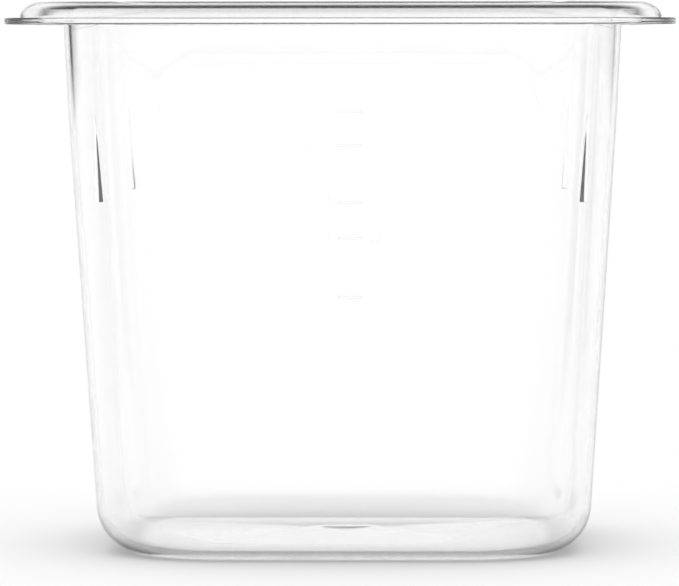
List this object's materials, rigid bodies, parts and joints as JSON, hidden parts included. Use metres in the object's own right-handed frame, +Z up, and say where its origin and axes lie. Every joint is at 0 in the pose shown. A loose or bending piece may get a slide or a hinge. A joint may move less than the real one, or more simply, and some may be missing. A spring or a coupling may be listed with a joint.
{
  "type": "clear food pan",
  "caption": "Deep clear plastic pan with drafted walls, rounded corners, a lipped flange that hangs in a pan opening, corner denesting lugs and level marks.",
  "frame": {"origin": "middle of the underside of the base", "axes": "+Z up out of the opening, +X along the longer side, +Y towards the wall with the level marks"},
  "size_m": [0.176, 0.162, 0.149],
  "materials": {
    "clear_polycarbonate": "clear, colourless, gloss moulded polycarbonate"
  },
  "bodies": {
    "root": {"pan_body": "clear_polycarbonate"}
  },
  "joints": []
}
